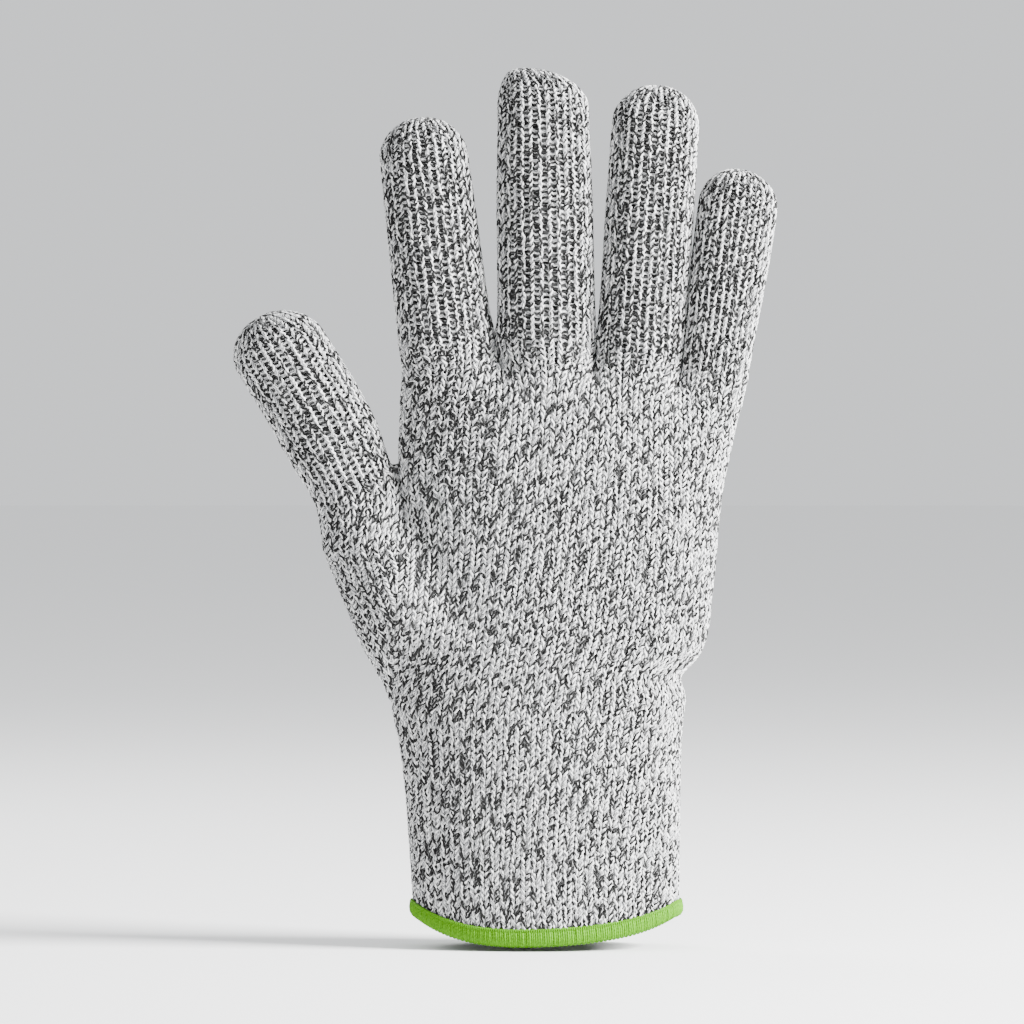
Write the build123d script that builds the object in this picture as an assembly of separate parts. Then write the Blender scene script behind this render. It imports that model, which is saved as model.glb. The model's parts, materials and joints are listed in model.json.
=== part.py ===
"""A seamless machine-knitted cut resistant glove, filled as if a hand were in it.

The glove stands on its wrist: +Z runs from the cuff to the fingertips, +X from the thumb to the
little finger, and +Y from the back of the hand to the palm. The origin is the middle of the cuff's
mouth. The cloth is one hollow wall, divided into sleeves where the hand inside it bends. Two
neighbouring sleeves meet at a hinge axis through the middle of the finger, and a wedge is open
between them on the side that closes as the joint folds.
"""
from build123d import *
from dataclasses import dataclass
from math import atan2, cos, degrees, hypot, radians, sin, tan
import os

os.makedirs("parts", exist_ok=True)

# Cloth and joints
WALL = 1.6  # thickness of the knitted cloth
AXIS_GAP = 0.6  # gap between two sleeves on their hinge axis
SPARE = 1.0  # degrees that each sleeve stays clear of the middle of a closed joint
FINGER_FLATNESS = 0.82  # a finger's depth over its width
TIP_HEIGHT = 0.46  # height of a tip's dome over the finger's width
REACH = 60.0  # half the size of the wedges that part the sleeves
SLEEVE_OVERLAP = 9.0  # how far a sleeve runs past its hinge before its wedge is cut

# Travel of the joints in degrees: towards the back of the hand, and towards the palm
WRIST_TRAVEL = (40, 40)
KNUCKLE_TRAVEL = (15, 60)
BASE_TRAVEL = (10, 25)
MIDDLE_TRAVEL = (0, 90)
TIP_TRAVEL = (0, 60)
THUMB_BASE_TRAVEL = (10, 35)
THUMB_TIP_TRAVEL = (0, 60)

# Cuff
WRIST_Z = 75.0
HEM_HEIGHT = 5.5
HEM_PROUD = 0.9  # how far the overlock thread stands off the cloth
ELASTIC_RADIUS = 0.4
ELASTIC_CLEARANCE = 0.2  # from the cloth, where the oval of a ring and that of the cuff differ
ELASTIC_PITCH = 6.0
ELASTIC_LOWEST = 17.0
ELASTIC_COUNT = 9

# Palm
KNUCKLE_TILT = 5.2  # the knuckles fall towards the little finger
KNUCKLE_Z = 137.7  # height of the knuckle hinge at the middle of the palm
WEB_TILT = 8.0  # slope of the line through the crotches of the fingers
STUB_DEPTH = 16.0  # how far the root of a finger starts below its crotch, inside the palm
STUB_REACH = 8.0  # how far it runs past the finger's first hinge before its wedge is cut

# Thumb
THUMB_TURN = 30.0  # the thumb folds across the palm: its hinges are turned this far about its length
THUMB_FLATNESS = 0.84


@dataclass
class Oval:
    """One level of the cuff or the palm."""

    z: float
    left: float
    right: float
    depth: float
    tilt: float = 0.0

    @property
    def middle(self):
        return (self.left + self.right) / 2


CUFF = [
    Oval(-2, -36.4, 36.0, 41.5),
    Oval(14, -36.8, 36.2, 41.0),
    Oval(34, -38.2, 36.4, 40.0),
    Oval(55, -40.4, 36.8, 39.0),
    Oval(69, -43.6, 38.0, 38.5),
    Oval(84, -47.5, 40.5, 38.0),
]
PALM = [
    Oval(64, -43.0, 37.5, 38.0),
    Oval(76, -45.0, 40.8, 38.5),
    Oval(90, -46.0, 44.5, 38.0),
    Oval(112, -44.5, 46.8, 36.5),
    Oval(132, -41.8, 48.8, 33.0, KNUCKLE_TILT),
    Oval(148, -40.4, 51.6, 29.5, WEB_TILT),
    Oval(157, -39.2, 52.6, 25.0, WEB_TILT),
    Oval(162.6, -37.4, 52.0, 17.0, WEB_TILT),
]

# The lower edge of the cuff, from the thumb's side to the other, as (x, z)
HEM_LINE = [(-50, 20), (-36.6, 10.3), (-22, 1.6), (-11, 0), (14, 1.4), (36.4, 9.0), (50, 17)]


@dataclass
class Digit:
    """One finger. Lengths run along it from the crotch beside it."""

    name: str
    x: float
    z: float
    tilt: float
    hinges: tuple
    length: float
    widths: tuple  # at the root, at the three hinges, and where the dome starts
    bends: tuple = (3.0, 9.0, 14.0)  # how far each sleeve leans towards the palm


FINGERS = [
    Digit("index", -27.2, 165.0, -5.9, (6, 24, 44.5), 62.3, (25.6, 25.4, 25.0, 24.4, 23.8)),
    Digit("middle", -0.3, 164.4, -1.2, (6, 28, 54), 76.6, (26.2, 26.2, 26.4, 25.8, 24.0)),
    Digit("ring", 25.4, 162.4, 3.7, (6, 26, 50), 74.0, (23.4, 23.4, 23.8, 24.2, 23.0)),
    Digit("little", 45.9, 157.0, 8.0, (5, 20, 38), 56.2, (17.4, 18.0, 20.4, 21.6, 21.2)),
]

THUMB_ROOT = [  # x, z, tilt, width and depth of the thumb's root inside the palm
    (-29.0, 76.0, -8.0, 30.0, 30.0),
    (-38.0, 97.0, -21.0, 31.0, 30.0),
    (-48.0, 117.0, -22.0, 27.5, 25.0),
    (-57.4, 135.2, -24.0, 24.6, 20.8),
    (-61.0, 143.0, -24.0, 24.6, 20.8),
]
THUMB_BASE = (-57.4, 135.2)
THUMB_KNUCKLE = (-65.2, 149.6)
THUMB_END_TILT = -32.5
THUMB_END_LENGTH = 26.0
THUMB_WIDTHS = (24.6, 24.2, 23.2)


def frame(x, y, z, tilt, bend=0.0):
    """A plane across a digit: its x runs across the hand, its y to the palm, its z along the digit."""
    t, b = radians(tilt), radians(bend)
    along = (cos(b) * sin(t), sin(b), cos(b) * cos(t))
    return Plane(origin=(x, y, z), x_dir=(cos(t), 0, -sin(t)), z_dir=along)


def turned(plane, angle):
    """The same plane, turned about its z so that its y leans towards its x."""
    a = radians(angle)
    return Plane(origin=plane.origin, x_dir=plane.x_dir * cos(a) - plane.y_dir * sin(a), z_dir=plane.z_dir)


def at(plane, height, width, depth, inset=0.0):
    """An elliptical section of a sleeve, at a height along its plane."""
    return plane.offset(height) * Ellipse(width / 2 - inset, depth / 2 - inset)


def wedge(hinge, travel, upward):
    """The space that a sleeve leaves free at a hinge, above it or below it.

    hinge is the plane halfway between the two sleeves, with the hinge axis as its x. travel is how
    far the joint goes to the back and to the palm.
    """
    back, palm = travel
    palm_slope = tan(radians(palm / 2 + SPARE))
    back_slope = tan(radians(back / 2 + SPARE))
    way = 1 if upward else -1
    tip = -way * AXIS_GAP / 2
    points = [
        (0, tip),
        (REACH, tip - way * REACH * palm_slope),
        (REACH, way * 2 * REACH),
        (-REACH, way * 2 * REACH),
        (-REACH, tip - way * REACH * back_slope),
    ]
    side = Plane(origin=hinge.origin, x_dir=hinge.y_dir, z_dir=hinge.x_dir)
    return extrude(side * make_face(Polyline(*points, close=True)), amount=REACH, both=True)


def dome(plane, height, width, flatness, inset=0.0):
    """The closed end of a tip: half an ellipsoid, standing on the sleeve's last section."""
    half = Sphere(1, arc_size1=0, align=(Align.CENTER, Align.CENTER, Align.MIN))
    sizes = (width / 2 - inset, width * flatness / 2 - inset, width * TIP_HEIGHT - inset)
    return plane.offset(height) * scale(half, by=sizes)


def tube(plane, stations, flatness, inset=0.0):
    """A solid round stations of (height, width)."""
    return loft([at(plane, h, w, w * flatness, inset) for h, w in stations])


def body_of(levels, inset=0.0, top=0.0):
    """A solid through ovals of the cuff or the palm. top lowers the last oval."""
    sections = []
    for n, o in enumerate(levels):
        drop = top if n == len(levels) - 1 else 0.0
        plane = frame(o.middle, 0, o.z - drop, o.tilt)
        sections.append(at(plane, 0, o.right - o.left, o.depth, inset))
    return loft(sections)


def above_hem(lift):
    """Everything above the cuff's lower edge, lifted by this much."""
    line = Spline(*[(x, z + lift) for x, z in HEM_LINE])
    first, last = line @ 0, line @ 1
    top = 2 * WRIST_Z
    rest = Polyline((last.X, last.Y), (last.X, top), (first.X, top), (first.X, first.Y))
    return extrude(Plane.XZ * make_face([line, rest]), amount=REACH, both=True)


def cuff_at(z):
    """The cuff's oval at a height between two of its levels."""
    above = next(n for n, o in enumerate(CUFF) if o.z > z)
    low, high = CUFF[above - 1], CUFF[above]
    share = (z - low.z) / (high.z - low.z)
    left = low.left + share * (high.left - low.left)
    right = low.right + share * (high.right - low.right)
    return Oval(z, left, right, low.depth + share * (high.depth - low.depth))


def save(name, solid):
    export_step(solid, f"parts/{name}.step")


def make_cuff():
    cloth = body_of(CUFF) - body_of(CUFF, WALL)
    rib = cloth & above_hem(HEM_PROUD)
    rib -= wedge(WRIST, WRIST_TRAVEL, upward=True)
    save("cuff_rib", rib)

    band = body_of(CUFF, -HEM_PROUD) - body_of(CUFF, WALL + HEM_PROUD)
    band &= above_hem(0)
    band -= above_hem(HEM_HEIGHT)
    save("cuff_hem", band - rib)

    rings = []
    inset = WALL + ELASTIC_RADIUS + ELASTIC_CLEARANCE
    for n in range(ELASTIC_COUNT):
        level = cuff_at(ELASTIC_LOWEST + n * ELASTIC_PITCH)
        path = frame(level.middle, 0, level.z, 0) * Edge.make_ellipse(
            (level.right - level.left) / 2 - inset, level.depth / 2 - inset
        )
        start = Plane(origin=path @ 0, z_dir=path % 0)
        rings.append(sweep(start * Circle(ELASTIC_RADIUS), path=path))
    save("cuff_elastic", Compound(children=rings))


def thumb_root(inset=0.0):
    """The solid that leads from the heel of the palm to the thumb's first hinge."""
    sections = [at(frame(x, 0, z, tilt), 0, width, depth, inset) for x, z, tilt, width, depth in THUMB_ROOT]
    return loft(sections)


def make_palm():
    fold = wedge(KNUCKLES, KNUCKLE_TRAVEL, upward=True)
    mouth = wedge(THUMB_HINGES[0], THUMB_BASE_TRAVEL, upward=True)
    cloth = (body_of(PALM) - fold) + (thumb_root() - mouth)
    cloth -= body_of(PALM, WALL, WALL)
    cloth -= thumb_root(WALL)
    cloth -= wedge(WRIST, WRIST_TRAVEL, upward=False)
    save("palm", cloth)


def make_knuckle_band():
    band = body_of(PALM)
    hollow = body_of(PALM, WALL, WALL)
    for f in FINGERS:
        plane = frame(f.x, 0, f.z, f.tilt)
        height = f.hinges[0]
        stations = [(-STUB_DEPTH, f.widths[0]), (0, f.widths[0]), (height + STUB_REACH, f.widths[1])]
        band += tube(plane, stations, FINGER_FLATNESS) - wedge(hinges_of(f)[0], BASE_TRAVEL, upward=True)
        hollow += tube(plane, stations, FINGER_FLATNESS, WALL)
    band -= hollow
    band -= wedge(KNUCKLES, KNUCKLE_TRAVEL, upward=False)
    save("knuckle_band", band)


def sleeve(plane, length, widths, flatness, low, high=None):
    """One hollow sleeve from its lower hinge to its upper one, or to a domed tip.

    low and high are each a hinge's plane and its travel. widths run from the lower hinge to the
    upper one, or to where the dome starts.
    """
    lower, upper = widths
    slope = (upper - lower) / length
    over = 0.0 if high is None else SLEEVE_OVERLAP
    stations = [(h, lower + h * slope) for h in (-SLEEVE_OVERLAP, 0, length / 2, length + over)]
    solid = tube(plane, stations, flatness) - tube(plane, stations, flatness, WALL)
    solid -= wedge(*low, upward=False)
    if high is not None:
        return solid - wedge(*high, upward=True)
    return solid + (dome(plane, length, upper, flatness) - dome(plane, length, upper, flatness, WALL))


def sleeves_of(f):
    """The plane and the length of each of a finger's three sleeves."""
    origin = frame(f.x, 0, f.z, f.tilt).offset(f.hinges[0]).origin
    found = []
    for bend, low, high in zip(f.bends, f.hinges, f.hinges[1:] + (f.length,)):
        plane = frame(origin.X, origin.Y, origin.Z, f.tilt, bend)
        found.append((plane, high - low))
        origin = plane.offset(high - low).origin
    return found


def hinges_of(f):
    """A finger's three hinges, each leaning halfway between the sleeves that it joins."""
    leans = [(a + b) / 2 for a, b in zip((0,) + f.bends, f.bends)]
    origins = [plane.origin for plane, _ in sleeves_of(f)]
    return [frame(o.X, o.Y, o.Z, f.tilt, lean) for o, lean in zip(origins, leans)]


def make_finger(f):
    hinges = list(zip(hinges_of(f), (BASE_TRAVEL, MIDDLE_TRAVEL, TIP_TRAVEL)))
    (base, base_length), (middle, middle_length), (tip, tip_length) = sleeves_of(f)
    tip_length -= f.widths[-1] * TIP_HEIGHT
    save(f"{f.name}_base", sleeve(base, base_length, f.widths[1:3], FINGER_FLATNESS, *hinges[:2]))
    save(f"{f.name}_middle", sleeve(middle, middle_length, f.widths[2:4], FINGER_FLATNESS, *hinges[1:]))
    save(f"{f.name}_tip", sleeve(tip, tip_length, f.widths[3:], FINGER_FLATNESS, hinges[2]))


def make_thumb():
    base_x, base_z = THUMB_BASE
    knuckle_x, knuckle_z = THUMB_KNUCKLE
    first = frame(base_x, 0, base_z, THUMB_TILTS[0])
    second = frame(knuckle_x, 0, knuckle_z, THUMB_TILTS[1])
    length = hypot(knuckle_x - base_x, knuckle_z - base_z)
    end_length = THUMB_END_LENGTH - THUMB_WIDTHS[2] * TIP_HEIGHT
    low, high = zip(THUMB_HINGES, (THUMB_BASE_TRAVEL, THUMB_TIP_TRAVEL))
    save("thumb_base", sleeve(first, length, THUMB_WIDTHS[:2], THUMB_FLATNESS, low, high))
    save("thumb_tip", sleeve(second, end_length, THUMB_WIDTHS[1:], THUMB_FLATNESS, high))


WRIST = frame(0, 0, WRIST_Z, 0)
KNUCKLES = frame(0, 0, KNUCKLE_Z, KNUCKLE_TILT)
THUMB_TILTS = (
    degrees(atan2(THUMB_KNUCKLE[0] - THUMB_BASE[0], THUMB_KNUCKLE[1] - THUMB_BASE[1])),
    THUMB_END_TILT,
)
THUMB_HINGES = [
    turned(frame(THUMB_BASE[0], 0, THUMB_BASE[1], (THUMB_ROOT[-1][2] + THUMB_TILTS[0]) / 2), THUMB_TURN),
    turned(frame(THUMB_KNUCKLE[0], 0, THUMB_KNUCKLE[1], sum(THUMB_TILTS) / 2), THUMB_TURN),
]

make_cuff()
make_palm()
make_knuckle_band()
for finger in FINGERS:
    make_finger(finger)
make_thumb()
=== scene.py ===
"""A knitted cut resistant glove: every course of its stitches, the overlocked edge and the light.

The cloth is worked out as it was knitted. Tables hold the place of every wale and course: one for
the body below the thumb, one for the hand above it, and one for each finger and the thumb. Each
course is one closed yarn that runs through the stitches of its table. The shapes come from the
CAD parts, and lengths are in millimetres until a mesh is made.
"""

import json
import math

import bpy
import numpy as np
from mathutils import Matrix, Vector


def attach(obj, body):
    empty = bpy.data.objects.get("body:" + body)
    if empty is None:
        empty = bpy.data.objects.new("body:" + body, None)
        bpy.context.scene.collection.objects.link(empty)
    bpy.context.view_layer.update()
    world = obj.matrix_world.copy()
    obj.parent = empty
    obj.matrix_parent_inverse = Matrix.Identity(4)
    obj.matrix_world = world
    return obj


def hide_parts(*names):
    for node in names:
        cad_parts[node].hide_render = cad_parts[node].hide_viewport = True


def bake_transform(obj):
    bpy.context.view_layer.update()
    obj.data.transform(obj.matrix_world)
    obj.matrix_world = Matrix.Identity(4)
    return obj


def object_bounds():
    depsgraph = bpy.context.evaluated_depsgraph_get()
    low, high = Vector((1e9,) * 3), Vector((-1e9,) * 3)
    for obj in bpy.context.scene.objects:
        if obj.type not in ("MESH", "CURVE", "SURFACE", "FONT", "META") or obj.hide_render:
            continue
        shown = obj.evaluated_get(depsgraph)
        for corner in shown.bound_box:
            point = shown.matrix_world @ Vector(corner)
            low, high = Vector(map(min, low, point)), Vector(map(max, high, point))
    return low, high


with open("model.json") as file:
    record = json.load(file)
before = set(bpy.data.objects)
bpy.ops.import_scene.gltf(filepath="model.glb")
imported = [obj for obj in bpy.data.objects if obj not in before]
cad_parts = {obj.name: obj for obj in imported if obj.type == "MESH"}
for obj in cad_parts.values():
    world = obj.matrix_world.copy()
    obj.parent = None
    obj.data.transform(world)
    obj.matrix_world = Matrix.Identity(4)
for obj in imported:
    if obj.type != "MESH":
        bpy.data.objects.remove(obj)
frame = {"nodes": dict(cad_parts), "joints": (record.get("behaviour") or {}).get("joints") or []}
cad_low, cad_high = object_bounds()
rng = np.random.default_rng(7)

# Gauge of the knit
SUB = 4  # columns of a table for each wale
PALM_WALES = 64
FINGER_WALES = 16
THUMB_HALF = 8  # wales of the thumb on each face
COURSE = 1.71  # height of a course in the body
FINGER_COURSE = 1.55
YARN = 0.45  # radius of the yarn
SAMPLES = 10  # points along the yarn in one stitch
SIDES = 5

# Where the fingers part
CROTCH_BELOW = {"index": 6.0, "middle": 6.0, "ring": 6.0, "little": 5.0}  # under the first hinge
FINGERS = ("index", "middle", "ring", "little")
TIP_LEAN = {"index": -1.6, "middle": 0.7, "ring": 0.5, "little": 0.3}  # sideways, in mm at the tip
TIP_SLANT = {"index": 0.0, "middle": 0.6, "ring": 0.0, "little": 0.1}  # the tip's top, towards the thumb
FINGER_MERGE = 9  # courses over which the palm turns into four tubes
THUMB_MERGE = 9
FINGER_FLATNESS = 0.82  # a finger's depth over its width
THUMB_FLATNESS = 0.84
TIP_RISE = 0.47  # height of a tip's dome over its width
THUMB_ROOT_LEAN = math.radians(-24.0)
THUMB_TIP_TURN = math.radians(-4.0)
WEB = 1.6  # width of the web between the thumb and the hand


# Measuring the CAD parts

joints = {j["name"]: j for j in frame["joints"]}


def pivot(name):
    return np.array(joints[name]["pos_m"]) * 1000


def across_of(name):
    """A finger hinge's axis, pointing from the thumb's side to the other."""
    return -np.array(joints[name]["axis"])


def arrays(node):
    mesh = frame["nodes"][node].data
    points = np.empty(len(mesh.vertices) * 3)
    mesh.vertices.foreach_get("co", points)
    ends = np.empty(len(mesh.edges) * 2, int)
    mesh.edges.foreach_get("vertices", ends)
    return points.reshape(-1, 3) * 1000, ends.reshape(-1, 2)


def cut(nodes, origin, normal):
    """Where the edges of some nodes cross a plane."""
    found = []
    for node in nodes:
        points, ends = arrays(node)
        side = (points - origin) @ np.array(normal, float)
        a, b = side[ends[:, 0]], side[ends[:, 1]]
        hit = a * b < 0
        share = (a[hit] / (a[hit] - b[hit]))[:, None]
        found.append(points[ends[hit, 0]] * (1 - share) + points[ends[hit, 1]] * share)
    return np.concatenate(found)


def step(x, low=0.0, high=1.0):
    """0 below low, 1 above high, smooth between them."""
    t = np.clip((np.asarray(x, float) - low) / (high - low), 0, 1)
    return t * t * (3 - 2 * t)


def averaged(values, reach):
    wide = np.pad(values, reach, mode="reflect", reflect_type="odd")
    return np.convolve(wide, np.ones(2 * reach + 1) / (2 * reach + 1), "valid")


HEIGHTS = np.arange(-12.0, 186.0)


def profile(heights, values, reach=6):
    """A smooth function of the height through measured values, straight beyond them."""
    h, v = np.array(heights, float), np.array(values, float)
    low = v[0] - (v[1] - v[0]) / (h[1] - h[0]) * 40
    high = v[-1] + (v[-1] - v[-2]) / (h[-1] - h[-2]) * 40
    line = np.interp(HEIGHTS, np.r_[h[0] - 40, h, h[-1] + 40], np.r_[low, v, high])
    line = averaged(averaged(line, reach), reach)
    return lambda z: np.interp(z, HEIGHTS, line)


WRIST = pivot("wrist_flex")[2]
KNUCKLE = pivot("knuckle_fold")[2]
CUFF_HEIGHTS = WRIST * np.linspace(0.22, 0.86, 5)
PALM_HEIGHTS = np.linspace(WRIST + 12, KNUCKLE - 14, 5)
BAND_HEIGHTS = KNUCKLE + np.array([13.0, 18.0])


def section(node, z):
    points = cut([node], (0, 0, z), (0, 0, 1))
    return points[:, 0].min(), points[:, 0].max(), np.ptp(points[:, 1]) / 2


sections = (
    [section("cuff_rib", z) for z in CUFF_HEIGHTS]
    + [section("palm", z) for z in PALM_HEIGHTS]
    + [section("knuckle_band", z) for z in BAND_HEIGHTS]
)
ALL_HEIGHTS = np.r_[CUFF_HEIGHTS, PALM_HEIGHTS, BAND_HEIGHTS]
left_line = profile(np.r_[CUFF_HEIGHTS, PALM_HEIGHTS], [s[0] for s in sections[:10]], 4)
whole_right = profile(ALL_HEIGHTS, [s[1] for s in sections], 4)
half_depth = profile(ALL_HEIGHTS, [s[2] for s in sections])
hand_left = profile(
    np.r_[CUFF_HEIGHTS[-1], BAND_HEIGHTS], [sections[4][0], sections[-2][0], sections[-1][0]]
)


def whole_left(z):
    """The edge on the thumb's side, where the ball of the thumb swells a little."""
    return left_line(z) - 2.4 * step(z, WRIST - 8, WRIST + 10) * (1 - step(z, WRIST + 38, WRIST + 74))


def crease(z):
    """How far the edge on the little finger's side lies out, where the hand hangs over the wrist."""
    overhang = 0.8 * np.exp(-(((z - WRIST - 9.0) / 7.0) ** 2))
    fold = 3.2 * np.exp(-(((z - WRIST + 2.2) / 4.0) ** 2))
    return overhang - fold


def palm_left(z):
    """The edge of the hand without the thumb."""
    return np.maximum(whole_left(z), hand_left(z))


def root_width(z):
    """Half the width of the thumb's root."""
    return 18.0 - 4.0 * step(z, WRIST + 5, KNUCKLE - 10)


def face_depth(x, z, with_thumb):
    """How far the cloth lies from the middle plane."""
    left, right = palm_left(z), whole_right(z)
    a, c = (right - left) / 2, (right + left) / 2
    hand = half_depth(z) * np.clip(1 - ((x - c) / a) ** 2, 0, 1) ** 0.5
    if not with_thumb:
        return hand
    w = root_width(z)
    x0 = whole_left(z) + w
    thick = (15.4 - 5.0 * step(z, WRIST + 15, KNUCKLE - 8)) * step(z, WRIST - 12, WRIST + 14)
    thumb = thick * np.clip(1 - ((x - x0) / w) ** 2, 0, 1) ** 0.5
    return (hand**5 + thumb**5) ** 0.2


hem_points, _ = arrays("cuff_hem")
hem_x = np.linspace(hem_points[:, 0].min() + 2, hem_points[:, 0].max() - 2, 24)
hem_z = [hem_points[np.abs(hem_points[:, 0] - x) < 4, 2].min() for x in hem_x]
HEM_DROP = 1.0  # how far the threads of the edge hang below the cloth
hem_line = np.poly1d(np.polyfit(hem_x, np.array(hem_z) + HEM_DROP, 4))


# Tubes for the fingers and the thumb


class Tube:
    """A finger's surface: stations run along it from its crotch, theta from its +X side to +Y."""

    def __init__(self, points, across, below, widths, flatness, rise, slant=0.0):
        steps = np.r_[0, np.cumsum(np.linalg.norm(np.diff(points, axis=0), axis=1))]
        self.t = np.arange(0, steps[-1], 0.5)
        line = np.stack([np.interp(self.t, steps, points[:, k]) for k in range(3)], 1)
        self.line = np.stack([averaged(averaged(line[:, k], 7), 7) for k in range(3)], 1)
        self.t = self.t - below
        along = np.gradient(self.line, axis=0)
        self.along = along / np.linalg.norm(along, axis=1)[:, None]
        self.across = np.array(across, float)
        self.widths = widths
        self.flatness = flatness
        self.top = steps[-1] - below
        self.rise = rise
        self.slant = slant
        self.arc = math.pi / 2 * math.hypot(rise, widths[1][-1] / 2) / math.sqrt(2)
        self.length = self.top - rise + self.arc

    def point(self, theta, t):
        theta, t = np.broadcast_arrays(theta, t)
        start = self.top - self.rise
        angle = np.clip((t - start) / self.arc, 0, 1) * math.pi / 2
        height = np.where(t > start, start + self.rise * np.sin(angle), t)
        centre = np.stack([np.interp(height, self.t, self.line[:, k]) for k in range(3)], -1)
        along = np.stack([np.interp(height, self.t, self.along[:, k]) for k in range(3)], -1)
        over = height - self.t[-1]
        centre = centre + along * np.where(over > 0, over, 0)[..., None]
        wide = np.interp(height, *self.widths) / 2
        centre = centre - (self.slant * wide * (1 - np.cos(angle)))[..., None] * self.across
        width = wide * np.cos(angle)
        deep = np.cross(along, np.broadcast_to(self.across, along.shape))
        return (
            centre
            + (width * np.cos(theta))[..., None] * self.across
            + (width * self.flatness * np.sin(theta))[..., None] * deep
        )


def finger_tube(name):
    hinges = [pivot(f"{name}_{part}_flex") for part in ("base", "middle", "tip")]
    across = across_of(f"{name}_base_flex")
    up = np.array([-across[2], 0, across[0]])
    last, _ = arrays(f"{name}_tip")
    lean = hinges[2] - hinges[1]
    lean = lean / np.linalg.norm(lean)
    tip_axis = lean * 0.96 + np.array([0, 0.1, 0])
    tip_axis = tip_axis / np.linalg.norm(tip_axis)
    end = hinges[2] + tip_axis * ((last - hinges[2]) @ tip_axis).max()
    below = 30.0
    start = hinges[0] - up * (below + CROTCH_BELOW[name])
    stations, widths = [], []
    for low, high, part in ((0, 1, "base"), (1, 2, "middle")):
        middle = (hinges[low] + hinges[high]) / 2
        way = hinges[high] - hinges[low]
        ring = cut([f"{name}_{part}"], middle, way / np.linalg.norm(way))
        widths.append(np.ptp((ring - middle) @ across))
        stations.append(np.linalg.norm(middle - start) - below)
    middle = hinges[2] + tip_axis * np.linalg.norm(end - hinges[2]) * 0.25
    ring = cut([f"{name}_tip"], middle, tip_axis)
    stations.append(np.linalg.norm(middle - start) - below)
    widths.append(np.ptp((ring - middle) @ across))
    rise = widths[-1] * TIP_RISE
    root = widths[0] + (0.6 if name != "little" else -0.8)
    table = (np.r_[-30.0, 0.0, stations], np.r_[root, root, widths])
    points = np.array([start, *hinges, end])
    points[1:, 0] += TIP_LEAN[name] * np.linspace(0.4, 1, 4)
    return Tube(points, across, below, table, FINGER_FLATNESS, rise, TIP_SLANT[name])


def thumb_tube():
    first, second = pivot("thumb_base_flex"), pivot("thumb_tip_flex")
    last, _ = arrays("thumb_tip")
    way = (second - first) / np.linalg.norm(second - first)
    cos, sin = math.cos(THUMB_TIP_TURN), math.sin(THUMB_TIP_TURN)
    tip_axis = np.array([way[0] * cos + way[2] * sin, 0, way[2] * cos - way[0] * sin])
    end = second + tip_axis * ((last - second) @ tip_axis).max()
    root_axis = np.array([math.sin(THUMB_ROOT_LEAN), 0, math.cos(THUMB_ROOT_LEAN)])
    below = 45.0
    start = first - root_axis * below
    across = np.array([way[2], 0, -way[0]])
    ring = cut(["thumb_base"], (first + second) / 2, way)
    width = np.ptp((ring - first) @ across)
    shares = np.array([1.0, 1.0, 0.95, 0.98, 1.05, 1.07, 1.05])
    table = (np.array([-below, -14.0, -10.0, -5.0, 0.0, 8.0, 60.0]), shares * width)
    line = np.array([start, first, second, end])
    tube = Tube(line, across, below, table, THUMB_FLATNESS, width * TIP_RISE)
    # the crotch is where the thumb's inner side nearly meets the edge of the hand
    stations = np.linspace(-30, 5, 141)
    inner = tube.point(0.0, stations)
    crotch = stations[np.argmin(np.abs(inner[:, 0] + WEB - palm_left(inner[:, 2])))]
    tube.t = tube.t - crotch
    tube.top -= crotch
    tube.length -= crotch
    tube.widths = (table[0] - crotch, table[1])
    return tube


tubes = {name: finger_tube(name) for name in FINGERS}
thumb = thumb_tube()
crotch_point = thumb.point(0.0, np.array(0.0))
finger_crotch = np.array([(tube.point(0.0, 0.0) + tube.point(math.pi, 0.0)) / 2 for tube in tubes.values()])

TOP_HEIGHT = finger_crotch[1, 2]
TOP = round(TOP_HEIGHT / COURSE)  # courses up to the fingers
PITCH = TOP_HEIGHT / TOP
THUMB_TOP = round(crotch_point[2] / PITCH)
SPLIT = round((WRIST + 16) / PITCH)  # the course between the cuff's knit and the palm's
TILT_FROM = round((WRIST + 12) / PITCH)
THUMB_DROP = crotch_point[2] - thumb.point(math.pi, np.array(0.0))[2]
THUMB_STARTS = np.round((WRIST + np.array([-8.0, -5.0, -2.0, 2.0, 8.0, 15.0, 24.0, 34.0])) / PITCH)


def course_height(c, x):
    """The height of a course at the middle plane's x, before the thumb draws it down."""
    low = hem_line(np.clip(x, hem_x[0], hem_x[-1])) * (1 - step(c / 28))
    edge = np.interp(x, finger_crotch[:, 0], finger_crotch[:, 2])
    return c * PITCH + low + (edge - TOP_HEIGHT) * step(c, TILT_FROM, TOP)


def wale_share(c):
    """How wide each of the thumb's wales is at a course, from 0 to 1. The outer ones start first."""
    return step(c - THUMB_STARTS, -3, 4)


def present(c):
    """Which of the thumb's wales have stitches at a course."""
    return wale_share(c) > 0.3


def group_shares(c):
    """The shares of the hand's width at which the fingers' groups of wales begin."""
    even = np.array([0, 0.25, 0.5, 0.75, 1])
    z = c * PITCH
    left, right = palm_left(z), whole_right(z)
    gaps = (finger_crotch[1:, 0] + finger_crotch[:-1, 0]) / 2 + np.array([0, 0, 2.6])
    angle = np.arccos(np.clip(1 - 2 * (gaps - left) / (right - left), -1, 1))
    split = np.r_[0, angle / math.pi * 0.55 + (gaps - left) / (right - left) * 0.45, 1]
    w = (step(c, 8, TOP) + np.clip((c - 8) / (TOP - 8), 0, 1)) / 2
    return even * (1 - w) + split * w


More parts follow.
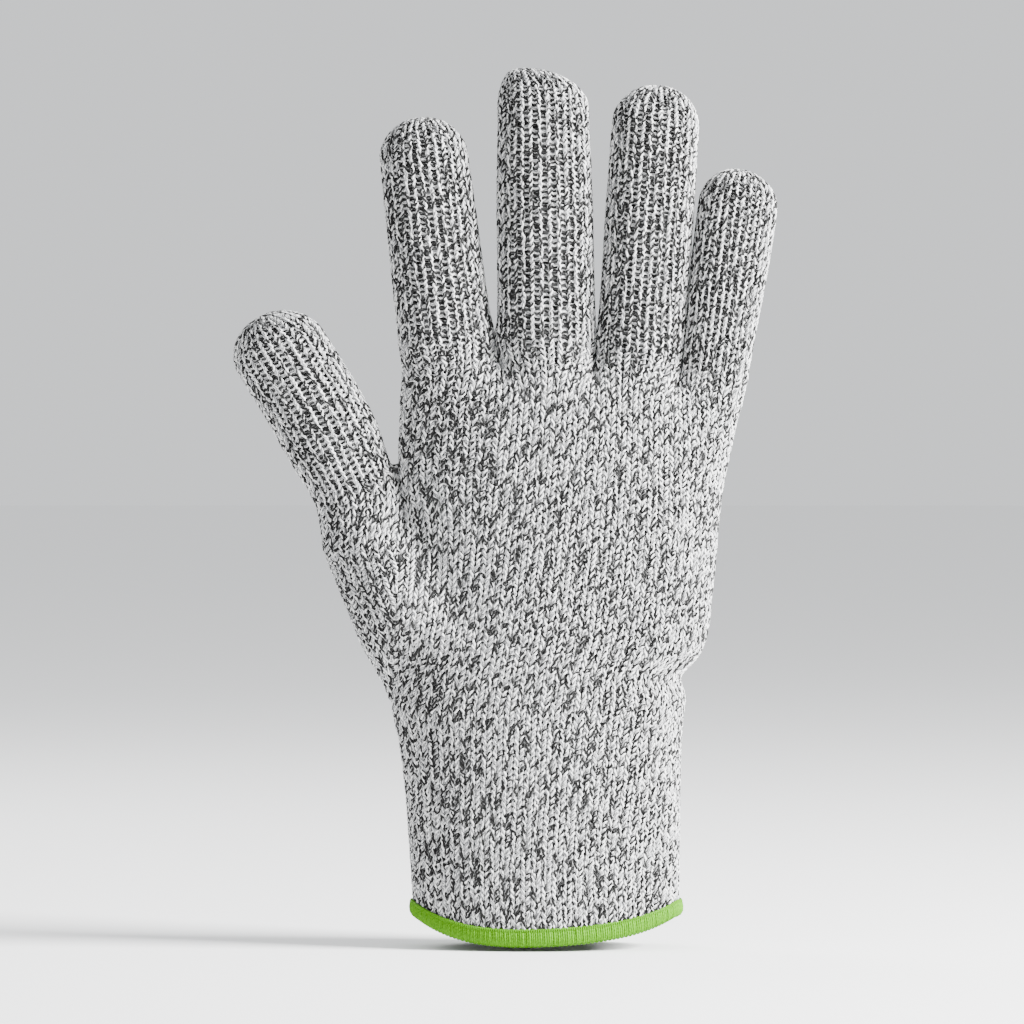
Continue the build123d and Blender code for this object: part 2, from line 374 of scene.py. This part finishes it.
def ring_of(c, with_thumb):
    """Shares of the arc from the left edge to the right one, and the share of the width there."""
    z = c * PITCH
    left = whole_left(z) if with_thumb else palm_left(z)
    right = whole_right(z)
    share = (1 - np.cos(np.linspace(0, math.pi, 241))) / 2
    x = left + share * (right - left)
    y = face_depth(x, z, with_thumb)
    y[0] = y[-1] = 0
    arc = np.r_[0, np.cumsum(np.hypot(np.diff(x), np.diff(y)))]
    return arc / arc[-1], share


def half_row(c, q, with_thumb):
    """Points of a course on the back of the hand, at wale coordinates q from the left edge."""
    arc, share = ring_of(c, with_thumb)
    z = c * PITCH
    left = whole_left(z) if with_thumb else palm_left(z)
    borders = group_shares(c)
    if with_thumb:
        # the fingers' wales lie where they would without the thumb, which only widens the cloth
        hand_arc, hand_share = ring_of(c, False)
        size = whole_right(z) - left
        x = palm_left(z) + np.interp(borders, hand_arc, hand_share) * (whole_right(z) - palm_left(z))
        borders = np.interp((x - left) / size, share, arc)
    place = np.interp(q - THUMB_HALF, np.linspace(0, PALM_WALES / 2, 5), borders)
    if with_thumb:
        sizes = wale_share(c)
        inside = np.interp(q, np.arange(THUMB_HALF + 1), np.r_[0, np.cumsum(sizes)])
        place = np.where(q < THUMB_HALF, inside / max(sizes.sum(), 1e-6) * borders[0], place)
    width = np.interp(place, arc, share)
    x = left + width * (whole_right(z) - left)
    height = course_height(c, x)
    if with_thumb:
        draw = step(c, TILT_FROM - 4, THUMB_TOP)
        height = height - THUMB_DROP * draw * step(-x, 18, -whole_left(z))
    left = whole_left(height) if with_thumb else palm_left(height)
    x = left + width * (whole_right(height) - left)
    y = face_depth(x, height, with_thumb)
    y = np.where((width < 1e-4) | (width > 1 - 1e-4), 0, y)
    return np.stack([x + crease(height) * width**4, -y, height], -1)


def mirrored(points):
    return points * np.array([1, -1, 1])


def finger_row(name, c):
    """A course of one finger, on the hand's back from its left side, then on the palm."""
    v = np.arange(0, FINGER_WALES, 1 / SUB)
    theta = math.pi + v / FINGER_WALES * 2 * math.pi
    return tubes[name].point(theta, c * FINGER_COURSE)


def fitted_finger_row(name, c):
    """finger_row, with its sides drawn to the crotches that it shares with its neighbours."""
    row = finger_row(name, c)
    n = FINGERS.index(name)
    fade = 1 - step(abs(c), 0, 5)
    if fade <= 0:
        return row
    v = np.arange(0, FINGER_WALES, 1 / SUB)
    for other, here, there in ((n - 1, 0, 8), (n + 1, 8, 0)):
        if not 0 <= other < len(FINGERS):
            continue
        mine = row[here * SUB].copy()
        theirs = finger_row(FINGERS[other], c)[there * SUB]
        away = np.abs(v - here)
        away = np.minimum(away, FINGER_WALES - away)
        row = row + ((theirs - mine) / 2) * (fade * (1 - step(away, 0, 3)))[:, None]
    return row


def hand_row(c):
    """A course of the hand without the thumb: the back from the left edge, then the palm."""
    q = np.arange(THUMB_HALF, THUMB_HALF + PALM_WALES / 2 + 1e-9, 1 / SUB)
    back = half_row(c, q, False)
    row = np.concatenate([back[:-1], mirrored(back)[:0:-1]])
    w = step(c, TOP - FINGER_MERGE, TOP)
    if w > 0:
        split = np.empty_like(row)
        half = FINGER_WALES // 2 * SUB
        for n, name in enumerate(FINGERS):
            ring = fitted_finger_row(name, c - TOP)
            split[n * half : (n + 1) * half] = ring[:half]
            last = len(row) - n * half
            split[last - half : last] = ring[half:]
        row = row * (1 - w) + split * w
    return row


def thumb_row(c):
    """A course of the thumb from its crotch: the palm's side first, then the back."""
    v = np.arange(0, FINGER_WALES, 1 / SUB)
    return thumb.point(v / FINGER_WALES * 2 * math.pi, c * FINGER_COURSE)


def body_row(c):
    """A course below the thumb's crotch: the back from the left edge, then the palm."""
    q = np.arange(0, THUMB_HALF + PALM_WALES / 2 + 1e-9, 1 / SUB)
    back = half_row(c, q, True)
    row = np.concatenate([back[:-1], mirrored(back)[:0:-1]])
    w = step(c, THUMB_TOP - THUMB_MERGE, THUMB_TOP)
    if w > 0:
        ring = thumb_row(c - THUMB_TOP)
        half = THUMB_HALF * SUB
        split = np.concatenate([ring[half:], hand_row(c), ring[:half]])
        row = row * (1 - w) + split * w
    return row


class Table:
    """Points and outward directions of a grid of wales and courses, closed across the wales."""

    def __init__(self, row_of, first, last):
        self.first = first
        self.rows = np.arange(first, last + 0.01, 0.5)
        self.points = np.stack([row_of(c) for c in self.rows])
        up = np.gradient(self.points, axis=0)
        total = 0
        for reach, share in ((1, 1.0), (SUB, 0.2), (3 * SUB, 0.02)):
            over = np.roll(self.points, -reach, 1) - np.roll(self.points, reach, 1)
            total = total + share * np.cross(over, up)
        length = np.linalg.norm(total, axis=2, keepdims=True)
        self.normals = total / np.maximum(length, 1e-9)

    def look(self, grid, wale, c):
        row = np.clip((c - self.first) * 2, 0, len(self.rows) - 1.001)
        r = row.astype(int)
        column = wale * SUB
        k = np.floor(column).astype(int)
        count = grid.shape[1]
        a, b = (row - r)[:, None], (column - k)[:, None]
        low = grid[r, k % count] * (1 - b) + grid[r, (k + 1) % count] * b
        high = grid[r + 1, k % count] * (1 - b) + grid[r + 1, (k + 1) % count] * b
        return low * (1 - a) + high * a

    def at(self, wale, c, out=0.0):
        normal = self.look(self.normals, wale, c)
        normal = normal / np.maximum(np.linalg.norm(normal, axis=1), 1e-9)[:, None]
        return self.look(self.points, wale, c) + normal * np.reshape(out, (-1, 1)), normal


body = Table(body_row, 0, THUMB_TOP + 2)
hand = Table(hand_row, THUMB_TOP - 2, TOP + 2)
finger_ends = {name: int(tubes[name].length * 0.985 / FINGER_COURSE) for name in FINGERS}
fingers = {}
for name in FINGERS:
    fingers[name] = Table(lambda c: fitted_finger_row(name, c), -2, finger_ends[name] + 1)
thumb_end = int(thumb.length * 0.985 / FINGER_COURSE)
thumb_table = Table(thumb_row, -2, thumb_end + 1)


# Meshes


SKIN = (-1.15, -1.7)  # the two faces of the inner skin, out from the CAD surface


class Cloth:
    """Collects the yarns and the shells of one piece."""

    def __init__(self):
        self.points, self.faces, self.uvs, self.slots, self.count = [], [], [], [], 0

    def yarn(self, path, normals, radius, sides=SIDES, closed=True):
        """A tube along a path. Its uv runs round the tube, and along it in millimetres."""
        if closed:
            way = np.roll(path, -1, 0) - np.roll(path, 1, 0)
        else:
            way = np.gradient(path, axis=0)
        way = way / np.maximum(np.linalg.norm(way, axis=1), 1e-9)[:, None]
        side = np.cross(way, normals)
        side = side / np.maximum(np.linalg.norm(side, axis=1), 1e-9)[:, None]
        front = np.cross(side, way)
        angle = np.arange(sides) / sides * 2 * math.pi
        cos, sin = np.cos(angle)[None, :, None], np.sin(angle)[None, :, None]
        rings = path[:, None] + radius * (cos * side[:, None] + sin * front[:, None])
        n = len(path)
        along = np.linalg.norm(np.diff(path, axis=0, append=path[:1]), axis=1)
        place = rng.random() * 100 + np.r_[0, np.cumsum(along)]
        i = np.arange(n if closed else n - 1)[:, None]
        k = np.arange(sides)[None, :]
        j, m = (i + 1) % n, (k + 1) % sides
        quads = np.stack([i * sides + k, i * sides + m, j * sides + m, j * sides + k], -1)
        u, v = k / sides + 0 * i, place[i] + 0.0 * k
        nu, nv = u + 1 / sides, place[i + 1] + 0.0 * k
        corners = ((u, v), (nu, v), (nu, nv), (u, nv))
        uv = np.stack([np.stack(corner, -1) for corner in corners], 2)
        self.add(rings.reshape(-1, 3), quads.reshape(-1, 4), uv.reshape(-1, 4, 2), 0)

    def add(self, points, quads, uv, slot):
        self.points.append(points)
        self.faces.append(quads + self.count)
        self.uvs.append(uv)
        self.slots.append(np.full(len(quads), slot))
        self.count += len(points)

    def shell(self, table, first, last):
        """The inside of the cloth: a closed skin just under the yarns."""
        columns = np.arange(0, table.points.shape[1], 2) / SUB
        rows = np.unique(np.r_[np.arange(first, last, 1.0), last])
        w, c = np.meshgrid(columns, rows)
        sheets = [table.at(w.ravel(), c.ravel(), out)[0] for out in SKIN]
        n, count = len(rows), len(columns)
        i, k = np.arange(n - 1)[:, None], np.arange(count)[None, :]
        m = (k + 1) % count
        here, above = i * count, (i + 1) * count
        quads = np.stack([here + k, here + m, above + m, above + k], -1).reshape(-1, 4)
        base = n * count
        k = np.arange(count)
        m = (k + 1) % count
        low = np.stack([k, base + k, base + m, m], -1)
        top = (n - 1) * count
        high = np.stack([top + k, top + m, base + top + m, base + top + k], -1)
        quads = np.concatenate([quads, quads[:, ::-1] + base, low, high])
        points = np.concatenate(sheets)
        flat = np.stack([np.tile(w.ravel(), 2), np.tile(c.ravel(), 2)], -1)
        self.add(points, quads, flat[quads], 1)

    def piece(self, name, materials):
        points = np.concatenate(self.points) / 1000
        quads = np.concatenate(self.faces)
        mesh = bpy.data.meshes.new(name)
        mesh.vertices.add(len(points))
        mesh.vertices.foreach_set("co", points.ravel().astype(np.float32))
        mesh.loops.add(quads.size)
        mesh.loops.foreach_set("vertex_index", quads.ravel().astype(np.int32))
        mesh.polygons.add(len(quads))
        mesh.polygons.foreach_set("loop_start", np.arange(0, quads.size, 4, dtype=np.int32))
        mesh.polygons.foreach_set("loop_total", np.full(len(quads), 4, np.int32))
        mesh.polygons.foreach_set("material_index", np.concatenate(self.slots).astype(np.int32))
        mesh.polygons.foreach_set("use_smooth", np.ones(len(quads), bool))
        layer = mesh.uv_layers.new(name="yarn")
        layer.data.foreach_set("uv", np.concatenate(self.uvs).reshape(-1).astype(np.float32))
        for material in materials:
            mesh.materials.append(material)
        mesh.update()
        mesh.validate()
        made = bpy.data.objects.new(name, mesh)
        bpy.context.scene.collection.objects.link(made)
        return made


INSET = 0.55  # how far inside the CAD surface the middle of the yarns lies
LEAN = {"body": 0.275, "finger": 0.17}  # how far a leg of a stitch leans, in widths of a wale


def knit(cloth, table, c, wales, lean, depth=0.46, width=1.0):
    """One course: a closed yarn through the given wales. The points of its stitches look up."""
    t = np.arange(SAMPLES) / SAMPLES
    count = len(wales)
    wobble = rng.normal(0, 1, (3, count, 1))
    turn = 2 * math.pi * t
    wale = wales[:, None] + width * (t + lean * np.sin(2 * turn)) + 0.025 * wobble[0] * np.sin(turn / 2)
    row = c + 0.5 + 0.93 * np.cos(turn) + 0.05 * wobble[1] * np.sin(turn / 2)
    out = -INSET - depth * np.cos(2 * turn) + 0.05 * wobble[2] * np.sin(turn / 2)
    path, normals = table.at(wale.ravel(), row.ravel(), out.ravel())
    cloth.yarn(path, normals, YARN)


def body_wales(c):
    there = np.nonzero(present(c + 0.5))[0]
    middle = np.arange(THUMB_HALF, THUMB_HALF + PALM_WALES)
    return np.concatenate([there, middle, 2 * THUMB_HALF + PALM_WALES - 1 - there[::-1]]).astype(float)


def tube_course(cloth, table, tube, c):
    """A course of a finger. Towards the tip there are fewer stitches in it."""
    start = tube.top - tube.rise
    angle = max(0.0, ((c + 0.5) * FINGER_COURSE - start) / tube.arc) * math.pi / 2
    wide = 1 if math.cos(angle) > 0.5 else 2 if math.cos(angle) > 0.24 else 4
    wales = np.arange(0, FINGER_WALES, wide).astype(float)
    knit(cloth, table, c, wales, LEAN["finger"], depth=0.5, width=wide)


# Materials


def new_material(name):
    material = bpy.data.materials.new(name)
    material.use_nodes = True
    nodes, links = material.node_tree.nodes, material.node_tree.links
    return material, nodes, links, nodes["Principled BSDF"]


def maths(nodes, links, kind, a, b=None):
    node = nodes.new("ShaderNodeMath")
    node.operation = kind
    for socket, value in zip(node.inputs, (a, b)):
        if value is None:
            continue
        if isinstance(value, (int, float)):
            socket.default_value = value
        else:
            links.new(value, socket)
    return node.outputs[0]


def yarn_coordinates(nodes, links):
    uv = nodes.new("ShaderNodeUVMap")
    uv.uv_map = "yarn"
    apart = nodes.new("ShaderNodeSeparateXYZ")
    links.new(uv.outputs[0], apart.inputs[0])
    return uv.outputs[0], apart.outputs[0], apart.outputs[1]


def ramp_of(nodes, links, value, stops):
    ramp = nodes.new("ShaderNodeValToRGB")
    elements = ramp.color_ramp.elements
    while len(elements) < len(stops):
        elements.new(1.0)
    for element, (place, colour) in zip(elements, stops):
        element.position = place
        element.color = (*colour, 1)
    links.new(value, ramp.inputs[0])
    return ramp.outputs[0]


def noise(nodes, links, vector, scale, detail=2.0):
    node = nodes.new("ShaderNodeTexNoise")
    node.inputs["Scale"].default_value = scale
    node.inputs["Detail"].default_value = detail
    links.new(vector, node.inputs["Vector"])
    return node.outputs["Fac"]


def stretched(nodes, links, vector, scale):
    node = nodes.new("ShaderNodeMapping")
    node.inputs["Scale"].default_value = scale
    links.new(vector, node.inputs["Vector"])
    return node.outputs[0]


def bump(nodes, links, shader, height, distance, strength=1.0):
    node = nodes.new("ShaderNodeBump")
    node.inputs["Distance"].default_value = distance
    node.inputs["Strength"].default_value = strength
    links.new(height, node.inputs["Height"])
    links.new(node.outputs[0], shader.inputs["Normal"])


def marl():
    """Light, grey and black plies twisted together."""
    material, nodes, links, shader = new_material("marl_yarn")
    uv, around, along = yarn_coordinates(nodes, links)
    slow = noise(nodes, links, stretched(nodes, links, uv, (0.0, 0.25, 1)), 1.0)
    twist = maths(nodes, links, "ADD", around, maths(nodes, links, "MULTIPLY", along, 1 / 8.5))
    twist = maths(nodes, links, "ADD", twist, maths(nodes, links, "MULTIPLY", slow, 2.4))
    share = maths(nodes, links, "FRACT", twist)
    black, light, grey, pale = (0.006,) * 3, (0.88, 0.88, 0.87), (0.2, 0.205, 0.215), (0.66, 0.66, 0.66)
    stops = [(0.0, black), (0.37, black), (0.41, light), (0.64, light)]
    stops += [(0.68, grey), (0.78, grey), (0.82, pale), (0.97, pale), (1.0, black)]
    plies = ramp_of(nodes, links, share, stops)
    fibre = noise(nodes, links, stretched(nodes, links, uv, (9.0, 1.4, 1)), 1.0, 3.0)
    tone = ramp_of(nodes, links, fibre, [(0.3, (0.55,) * 3), (0.62, (1.0,) * 3)])
    mix = nodes.new("ShaderNodeMix")
    mix.data_type = "RGBA"
    mix.blend_type = "MULTIPLY"
    mix.inputs["Factor"].default_value = 1.0
    links.new(plies, mix.inputs["A"])
    links.new(tone, mix.inputs["B"])
    links.new(mix.outputs["Result"], shader.inputs["Base Color"])
    shader.inputs["Roughness"].default_value = 0.82
    shader.inputs["Specular IOR Level"].default_value = 0.25
    shader.inputs["Sheen Weight"].default_value = 0.15
    ridge = maths(nodes, links, "SINE", maths(nodes, links, "MULTIPLY", twist, 6 * math.pi))
    height = maths(nodes, links, "ADD", maths(nodes, links, "MULTIPLY", ridge, 0.35), fibre)
    bump(nodes, links, shader, height, 0.00012)
    return material


def inside():
    """The purl side: rows of small arcs, darker than the face as the light hardly reaches it."""
    material, nodes, links, shader = new_material("marl_inside")
    uv, across, up = yarn_coordinates(nodes, links)
    wave = maths(nodes, links, "SINE", maths(nodes, links, "MULTIPLY", up, 2 * math.pi))
    arc = maths(nodes, links, "SINE", maths(nodes, links, "MULTIPLY", across, 2 * math.pi))
    height = maths(nodes, links, "ADD", wave, maths(nodes, links, "MULTIPLY", arc, 0.4))
    speck = noise(nodes, links, stretched(nodes, links, uv, (2.6, 3.4, 1)), 1.0, 2.0)
    colour = ramp_of(nodes, links, speck, [(0.42, (0.012,) * 3), (0.5, (0.10,) * 3), (0.62, (0.20,) * 3)])
    links.new(colour, shader.inputs["Base Color"])
    shader.inputs["Roughness"].default_value = 0.95
    shader.inputs["Specular IOR Level"].default_value = 0.1
    bump(nodes, links, shader, height, 0.0004)
    return material


def thread(name, colour, dark, turn):
    """A twisted thread with a slight sheen."""
    material, nodes, links, shader = new_material(name)
    uv, around, along = yarn_coordinates(nodes, links)
    twist = maths(nodes, links, "ADD", around, maths(nodes, links, "MULTIPLY", along, 1 / turn))
    ridge = maths(nodes, links, "SINE", maths(nodes, links, "MULTIPLY", twist, 4 * math.pi))
    fibre = noise(nodes, links, stretched(nodes, links, uv, (7.0, 1.5, 1)), 1.0, 3.0)
    tone = ramp_of(nodes, links, fibre, [(0.3, dark), (0.6, colour)])
    links.new(tone, shader.inputs["Base Color"])
    shader.inputs["Roughness"].default_value = 0.6
    shader.inputs["Specular IOR Level"].default_value = 0.15
    height = maths(nodes, links, "ADD", maths(nodes, links, "MULTIPLY", ridge, 0.5), fibre)
    bump(nodes, links, shader, height, 0.00008)
    return material


def plain(name, colour, roughness):
    material, _, _, shader = new_material(name)
    shader.inputs["Base Color"].default_value = (*colour, 1)
    shader.inputs["Roughness"].default_value = roughness
    return material


MARL, INSIDE = marl(), inside()
GREEN = thread("green_thread", (0.085, 0.27, 0.0), (0.035, 0.14, 0.0), 1.6)
ELASTIC = plain("elastic", (0.62, 0.62, 0.58), 0.7)
KNIT = [MARL, INSIDE]


# The pieces of knit


def finish_piece(cloth, name, joint, way, nodes):
    """Makes the piece from the cloth, bakes its transform and hides the CAD nodes that it stands for."""
    piece = cloth.piece(name, KNIT)
    centre, way = pivot(joint), np.array(way, float)
    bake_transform(piece)
    if nodes:
        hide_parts(*nodes)
    return piece


cuff = Cloth()
for c in range(0, SPLIT):
    knit(cuff, body, c, body_wales(c), LEAN["body"])
cuff.shell(body, 0.1, SPLIT)
finish_piece(cuff, "knit_cuff", "wrist_flex", (0, 0, 1), ["cuff_rib"])

palm = Cloth()
for c in range(SPLIT, THUMB_TOP):
    knit(palm, body, c, body_wales(c), LEAN["body"])
for c in range(THUMB_TOP, TOP):
    knit(palm, hand, c, np.arange(PALM_WALES, dtype=float), LEAN["body"])
palm.shell(body, SPLIT, THUMB_TOP)
palm.shell(hand, THUMB_TOP, TOP)
axis = across_of("knuckle_fold")
upward = np.array([-axis[2], 0, axis[0]])
stands_for = ["palm", "knuckle_band"]
finish_piece(palm, "knit_palm", "knuckle_fold", upward, stands_for)


def tube_pieces(name, table, tube, end, stretches):
    """Divides a finger's courses into pieces that each cross one joint.

    stretches hold the piece's part name, its two bodies, its joint, how far the piece reaches past its
    joint, and the CAD nodes that it stands for.
    """
    nearest = [np.argmin(np.linalg.norm(tube.line - pivot(stretch[3]), axis=1)) for stretch in stretches]
    places = tube.t[nearest]
    first = 0
    for n, (part, low, high, joint, reach, nodes) in enumerate(stretches):
        if n + 1 < len(stretches):
            top, bottom = places[n] + reach, places[n + 1] - stretches[n + 1][4]
            last = round((top + bottom) / 2 / FINGER_COURSE)
        else:
            last = end
        cloth = Cloth()
        for c in range(first, last):
            tube_course(cloth, table, tube, c)
        cloth.shell(table, first, last if n + 1 < len(stretches) else end + 1)
        finish_piece(cloth, f"knit_{name}_{part}", joint, tube.along[nearest[n]], nodes)
        first = last


for name in FINGERS:
    base, middle, tip = (f"{name}_{part}" for part in ("base", "middle", "tip"))
    reaches = (4.5, 10.0, 7.2) if name == "little" else (5.0, 12.0, 8.5)
    stretches = [
        ("base", "knuckle_band", base, base + "_flex", reaches[0], []),
        ("middle", base, middle, middle + "_flex", reaches[1], [base, middle]),
        ("tip", middle, tip, tip + "_flex", reaches[2], [tip]),
    ]
    tube_pieces(name, fingers[name], tubes[name], finger_ends[name], stretches)
stretches = [
    ("base", "palm", "thumb_base", "thumb_base_flex", 6.0, ["thumb_base"]),
    ("tip", "thumb_base", "thumb_tip", "thumb_tip_flex", 8.5, ["thumb_tip"]),
]
tube_pieces("thumb", thumb_table, thumb, thumb_end, stretches)


# The overlocked edge

WRAPS = 300  # threads over the edge
WRAP_THREAD, LOOPER_THREAD = 0.37, 0.24  # radii
HEM_TOP = 3.7


def edge_place(wale, out, up):
    """A point by the cuff's edge, out from the cloth and up from the edge."""
    place, normal = body.at(wale, np.maximum(up, 0) / PITCH)
    below = np.array([0, 0, 1]) * np.minimum(up, 0)[:, None]
    return place + normal * out[:, None] + below, normal


hem = Cloth()
# One wrap, from its top on the outside round the edge to the inside
shape_out = np.array([0.35, 0.75, 0.95, 0.9, 0.45, -0.55, -1.6, -2.05, -1.95, -1.6])
shape_up = np.array([HEM_TOP, 3.0, 1.9, 0.8, -0.1, -0.4, -0.1, 0.9, 2.2, HEM_TOP - 0.4])
for n in range(WRAPS):
    slant = np.linspace(0.0, 0.75, len(shape_out))
    wale = THUMB_HALF + (n + slant + rng.normal(0, 0.06)) * PALM_WALES / WRAPS
    loose = rng.normal(0, 0.05)
    up = shape_up + rng.normal(0, 0.09) * (shape_up > 1)
    path, normals = edge_place(wale, shape_out + loose, up)
    ends = body.at(THUMB_HALF + np.array([n, n + 1.0]) * PALM_WALES / WRAPS, np.zeros(2))[0]
    side = (ends[1] - ends[0]) / np.linalg.norm(ends[1] - ends[0])
    hem.yarn(path, np.repeat(side[None], len(path), 0), WRAP_THREAD, sides=6, closed=False)
# Two loopers cross along the top of the wraps, and one runs below the edge
chain = HEM_TOP - 0.1
loopers = ((chain, 0.75, 0.42, 0.0), (chain, 0.75, 0.42, math.pi), (-0.55, -0.15, 0.16, 0.0))
for level, out, tall, phase in loopers:
    n = np.arange(WRAPS * 4) / 4
    wale = THUMB_HALF + n * PALM_WALES / WRAPS
    swing = n * math.pi + phase
    path, normals = edge_place(wale, out + 0.16 * np.cos(swing * 2), level + tall * np.sin(swing))
    hem.yarn(path, normals, LOOPER_THREAD)
edge = hem.piece("overlock_edge", [GREEN])
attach(edge, "cuff")
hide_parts("cuff_hem")

rings = frame["nodes"]["cuff_elastic"]
rings.data.materials.clear()
rings.data.materials.append(ELASTIC)


# Floor, light and camera

centre = (cad_low + cad_high) / 2
bpy.ops.mesh.primitive_plane_add(size=12, location=(0, 0, cad_low.z - 0.0012))
floor = bpy.context.object
floor.name = "floor"
floor.data.materials.append(plain("floor_white", (0.93, 0.93, 0.93), 0.9))

world = bpy.data.worlds.new("studio")
bpy.context.scene.world = world
world.use_nodes = True
backdrop = world.node_tree.nodes["Background"]
backdrop.inputs["Color"].default_value = (0.96, 0.98, 1, 1)
backdrop.inputs["Strength"].default_value = 1.0


def lamp(name, place, size, power):
    light = bpy.data.lights.new(name, "AREA")
    light.energy, light.size = power, size
    made = bpy.data.objects.new(name, light)
    bpy.context.scene.collection.objects.link(made)
    made.location = [centre[k] + place[k] for k in range(3)]
    made.rotation_mode = "QUATERNION"
    aim = centre - made.location
    made.rotation_quaternion = aim.to_track_quat("-Z", "Y")
    return made


lamp("key", (1.05, -0.4, 0.5), 0.5, 112)
lamp("rim", (-0.6, 0.7, 0.6), 0.5, 6)

DISTANCE, RISE = 2.4, math.radians(1.2)  # metres from the glove, and how far the camera looks down
SENSOR, PICTURE_WIDTH = 36, 0.2812  # mm, and the metres across the picture at the glove
camera = bpy.data.objects.new("camera", bpy.data.cameras.new("camera"))
bpy.context.scene.collection.objects.link(camera)
bpy.context.scene.camera = camera
target = centre.copy()
target.x, target.z = centre.x + 0.00135, centre.z - 0.0019
camera.location = (target.x, target.y - DISTANCE * math.cos(RISE), target.z + DISTANCE * math.sin(RISE))
camera.rotation_euler = (math.pi / 2 - RISE, 0, 0)
camera.data.sensor_width = SENSOR
camera.data.lens = SENSOR * DISTANCE / PICTURE_WIDTH
camera.data.clip_start, camera.data.clip_end = 0.05, 20
